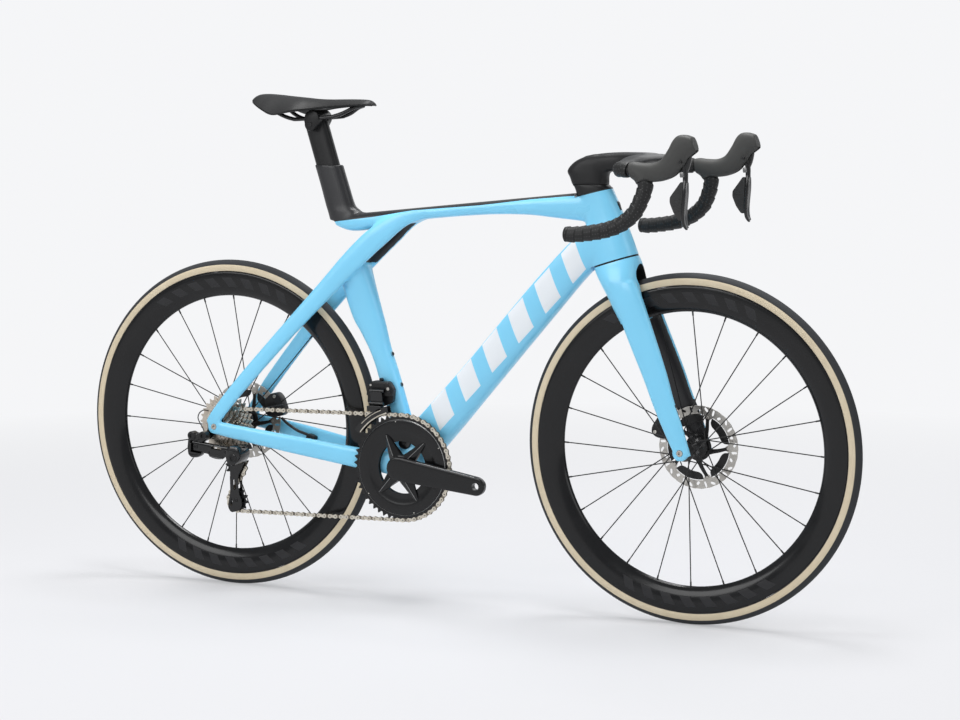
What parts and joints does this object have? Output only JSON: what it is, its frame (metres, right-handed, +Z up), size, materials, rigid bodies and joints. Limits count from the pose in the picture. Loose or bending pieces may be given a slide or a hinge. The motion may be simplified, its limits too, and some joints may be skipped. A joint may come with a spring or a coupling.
{
  "type": "aero road bicycle",
  "caption": "Aero road bicycle with deep-section wheels, disc brakes, drop bars with an integrated stem, chain drive with front and rear mechs, and an aero seatpost under a saddle.",
  "frame": {"origin": "on the ground midway between the wheel axles, in the plane of symmetry of the frame", "axes": "+X forward, +Y to the rider's left, +Z up; the drive side is at -Y"},
  "size_m": [1.678, 0.4014, 1.0095],
  "materials": {
    "frame_finish": "gloss paint over carbon composite",
    "fork_finish": "gloss paint over carbon composite",
    "front_tyre_finish": "dark tread with tan sidewalls",
    "rear_tyre_finish": "dark tread with tan sidewalls",
    "front_rim_finish": "gloss carbon",
    "rear_rim_finish": "gloss carbon",
    "front_hub_finish": "black anodised, dark steel spokes",
    "rear_hub_finish": "black anodised, dark steel spokes",
    "front_rotor_finish": "brushed track on a black carrier",
    "rear_rotor_finish": "brushed track on a black carrier",
    "front_caliper_finish": "black anodised",
    "rear_caliper_finish": "black anodised",
    "front_inner_pad_finish": "backing plate",
    "front_outer_pad_finish": "backing plate",
    "rear_inner_pad_finish": "backing plate",
    "rear_outer_pad_finish": "backing plate",
    "cassette_finish": "nickel plated",
    "outer_chainring_finish": "gloss black anodised",
    "inner_chainring_finish": "black anodised",
    "right_crank_finish": "gloss black anodised",
    "left_crank_finish": "gloss black anodised",
    "bb_cup_right_finish": "black anodised",
    "bb_cup_left_finish": "black anodised",
    "chain_finish": "nickel plated",
    "mech_hanger_finish": "black anodised",
    "rear_mech_body_finish": "gloss composite",
    "rear_mech_link_finish": "gloss composite",
    "rear_mech_knuckle_finish": "gloss composite",
    "rear_mech_cage_finish": "carbon plates",
    "guide_pulley_finish": "black",
    "tension_pulley_finish": "black",
    "front_mech_body_finish": "gloss composite",
    "front_mech_link_finish": "black anodised",
    "front_mech_cage_finish": "black anodised",
    "lower_headset_bearing_finish": "bright",
    "upper_headset_bearing_finish": "bright",
    "front_thru_axle_finish": "anodised, bright end",
    "rear_thru_axle_finish": "anodised, bright end",
    "headset_cover_finish": "satin black",
    "bar_and_stem_finish": "satin carbon",
    "bar_tape_left_finish": "perforated tape",
    "bar_tape_right_finish": "perforated tape",
    "top_tape_left_finish": "perforated tape",
    "top_tape_right_finish": "perforated tape",
    "bar_plug_left_finish": "black",
    "bar_plug_right_finish": "black",
    "brake_hood_left_finish": "matt grip",
    "brake_hood_right_finish": "matt grip",
    "brake_lever_left_finish": "carbon",
    "brake_lever_right_finish": "carbon",
    "shift_paddle_left_finish": "textured",
    "shift_paddle_right_finish": "textured",
    "seatpost_finish": "satin carbon",
    "saddle_clamp_finish": "black anodised",
    "saddle_cover_finish": "smooth synthetic",
    "saddle_shell_finish": "carbon",
    "saddle_rails_finish": "carbon",
    "rear_brake_hose_finish": "black",
    "shift_wire_finish": "black"
  },
  "bodies": {
    "frameset": {"frame": "frame_finish", "bb_cup_right": "bb_cup_right_finish", "bb_cup_left": "bb_cup_left_finish", "lower_headset_bearing": "lower_headset_bearing_finish", "upper_headset_bearing": "upper_headset_bearing_finish", "mech_hanger": "mech_hanger_finish", "rear_mech_body": "rear_mech_body_finish", "rear_caliper": "rear_caliper_finish", "rear_thru_axle": "rear_thru_axle_finish", "front_mech_body": "front_mech_body_finish", "rear_brake_hose": "rear_brake_hose_finish", "shift_wire": "shift_wire_finish", "chain": "chain_finish"},
    "steering": {"fork": "fork_finish", "front_caliper": "front_caliper_finish", "front_thru_axle": "front_thru_axle_finish", "headset_cover": "headset_cover_finish", "bar_and_stem": "bar_and_stem_finish", "bar_tape_left": "bar_tape_left_finish", "bar_tape_right": "bar_tape_right_finish", "top_tape_left": "top_tape_left_finish", "top_tape_right": "top_tape_right_finish", "bar_plug_left": "bar_plug_left_finish", "bar_plug_right": "bar_plug_right_finish", "brake_hood_left": "brake_hood_left_finish", "brake_hood_right": "brake_hood_right_finish"},
    "front_wheel": {"front_tyre": "front_tyre_finish", "front_rim": "front_rim_finish", "front_hub": "front_hub_finish", "front_rotor": "front_rotor_finish"},
    "rear_wheel": {"rear_tyre": "rear_tyre_finish", "rear_rim": "rear_rim_finish", "rear_hub": "rear_hub_finish", "rear_rotor": "rear_rotor_finish"},
    "crankset": {"outer_chainring": "outer_chainring_finish", "inner_chainring": "inner_chainring_finish", "right_crank": "right_crank_finish", "left_crank": "left_crank_finish"},
    "cassette_body": {"cassette": "cassette_finish"},
    "mech_link": {"rear_mech_link": "rear_mech_link_finish"},
    "mech_knuckle": {"rear_mech_knuckle": "rear_mech_knuckle_finish"},
    "mech_cage": {"rear_mech_cage": "rear_mech_cage_finish"},
    "guide_wheel": {"guide_pulley": "guide_pulley_finish"},
    "tension_wheel": {"tension_pulley": "tension_pulley_finish"},
    "front_link": {"front_mech_link": "front_mech_link_finish"},
    "front_cage": {"front_mech_cage": "front_mech_cage_finish"},
    "lever_left": {"brake_lever_left": "brake_lever_left_finish"},
    "lever_right": {"brake_lever_right": "brake_lever_right_finish"},
    "paddle_left": {"shift_paddle_left": "shift_paddle_left_finish"},
    "paddle_right": {"shift_paddle_right": "shift_paddle_right_finish"},
    "pad_front_inner": {"front_inner_pad": "front_inner_pad_finish"},
    "pad_front_outer": {"front_outer_pad": "front_outer_pad_finish"},
    "pad_rear_inner": {"rear_inner_pad": "rear_inner_pad_finish"},
    "pad_rear_outer": {"rear_outer_pad": "rear_outer_pad_finish"},
    "post": {"seatpost": "seatpost_finish", "saddle_clamp": "saddle_clamp_finish"},
    "saddle": {"saddle_cover": "saddle_cover_finish", "saddle_shell": "saddle_shell_finish", "saddle_rails": "saddle_rails_finish"}
  },
  "joints": [
    {"name": "steering_turn", "type": "hinge", "parent": "frameset", "child": "steering", "pos_m": [0.34939, 0, 0.69026], "axis": [-0.2882, 0, 0.9576], "range_deg": [-50, 50]},
    {"name": "front_wheel_spin", "type": "hinge", "parent": "steering", "child": "front_wheel", "pos_m": [0.503, 0, 0.336], "axis": [0, 1, 0], "continuous": true},
    {"name": "rear_wheel_spin", "type": "hinge", "parent": "frameset", "child": "rear_wheel", "pos_m": [-0.503, 0, 0.336], "axis": [0, 1, 0], "continuous": true},
    {"name": "crank_spin", "type": "hinge", "parent": "frameset", "child": "crankset", "pos_m": [-0.08993, 0, 0.272], "axis": [0, 1, 0], "continuous": true},
    {"name": "cassette_spin", "type": "hinge", "parent": "frameset", "child": "cassette_body", "pos_m": [-0.503, 0, 0.336], "axis": [0, 1, 0], "continuous": true},
    {"name": "rear_mech_shift", "type": "hinge", "parent": "frameset", "child": "mech_link", "pos_m": [-0.546, -0.0865, 0.295], "axis": [0.1104, 0, 0.9939], "range_deg": [-11.5, 9.5], "deforming": ["chain"]},
    {"name": "rear_mech_knuckle_turn", "type": "hinge", "parent": "mech_link", "child": "mech_knuckle", "pos_m": [-0.447, -0.0865, 0.284], "axis": [0.1104, 0, 0.9939], "range_deg": [-9.5, 11.5]},
    {"name": "rear_mech_cage_swing", "type": "hinge", "parent": "mech_knuckle", "child": "mech_cage", "pos_m": [-0.456, -0.047, 0.27], "axis": [0, -1, 0], "range_deg": [-25, 35], "stiffness_Nm_per_rad": 0.6},
    {"name": "guide_pulley_spin", "type": "hinge", "parent": "mech_cage", "child": "guide_wheel", "pos_m": [-0.472, -0.047, 0.252], "axis": [0, 1, 0], "continuous": true},
    {"name": "tension_pulley_spin", "type": "hinge", "parent": "mech_cage", "child": "tension_wheel", "pos_m": [-0.4685, -0.047, 0.183], "axis": [0, 1, 0], "continuous": true},
    {"name": "front_mech_shift", "type": "hinge", "parent": "frameset", "child": "front_link", "pos_m": [-0.14793, -0.042, 0.422], "axis": [1, 0, 0], "range_deg": [0, 16]},
    {"name": "front_mech_cage_turn", "type": "hinge", "parent": "front_link", "child": "front_cage", "pos_m": [-0.14793, -0.0455, 0.39725], "axis": [1, 0, 0], "range_deg": [-16, 0]},
    {"name": "brake_lever_left_pull", "type": "hinge", "parent": "steering", "child": "lever_left", "pos_m": [0.54761, 0.168, 0.884], "axis": [0, 1, 0], "range_deg": [0, 22], "stiffness_Nm_per_rad": 0.6},
    {"name": "shift_paddle_left_press", "type": "hinge", "parent": "lever_left", "child": "paddle_left", "pos_m": [0.54161, 0.166, 0.8477], "axis": [-1, 0, 0], "range_deg": [0, 5], "stiffness_Nm_per_rad": 0.1},
    {"name": "brake_lever_right_pull", "type": "hinge", "parent": "steering", "child": "lever_right", "pos_m": [0.54761, -0.168, 0.884], "axis": [0, 1, 0], "range_deg": [0, 22], "stiffness_Nm_per_rad": 0.6},
    {"name": "shift_paddle_right_press", "type": "hinge", "parent": "lever_right", "child": "paddle_right", "pos_m": [0.54161, -0.166, 0.8477], "axis": [1, 0, 0], "range_deg": [0, 5], "stiffness_Nm_per_rad": 0.1},
    {"name": "front_inner_pad_close", "type": "slide", "parent": "steering", "child": "pad_front_inner", "axis": [0, 1, 0], "range_m": [0, 0.0004]},
    {"name": "front_outer_pad_close", "type": "slide", "parent": "steering", "child": "pad_front_outer", "axis": [0, -1, 0], "range_m": [0, 0.0004]},
    {"name": "rear_inner_pad_close", "type": "slide", "parent": "frameset", "child": "pad_rear_inner", "axis": [0, 1, 0], "range_m": [0, 0.0004]},
    {"name": "rear_outer_pad_close", "type": "slide", "parent": "frameset", "child": "pad_rear_outer", "axis": [0, -1, 0], "range_m": [0, 0.0004]},
    {"name": "seatpost_height", "type": "slide", "parent": "frameset", "child": "post", "axis": [-0.2957, 0, 0.9553], "range_m": [-0.035, 0.02]},
    {"name": "saddle_setback", "type": "slide", "parent": "post", "child": "saddle", "axis": [0.9981, 0, 0.0611], "range_m": [-0.012, 0.012]}
  ],
  "couplings": [
    {"joint": "cassette_spin", "follows": "crank_spin", "ratio": 3.0588},
    {"joint": "guide_pulley_spin", "follows": "crank_spin", "ratio": -4.7273},
    {"joint": "tension_pulley_spin", "follows": "crank_spin", "ratio": 4.7273},
    {"joint": "rear_mech_knuckle_turn", "follows": "rear_mech_shift", "ratio": -1},
    {"joint": "front_mech_cage_turn", "follows": "front_mech_shift", "ratio": -1},
    {"joint": "front_inner_pad_close", "follows": "brake_lever_left_pull", "m_per_rad": 0.00104},
    {"joint": "front_outer_pad_close", "follows": "brake_lever_left_pull", "m_per_rad": 0.00104},
    {"joint": "rear_inner_pad_close", "follows": "brake_lever_right_pull", "m_per_rad": 0.00104},
    {"joint": "rear_outer_pad_close", "follows": "brake_lever_right_pull", "m_per_rad": 0.00104}
  ]
}
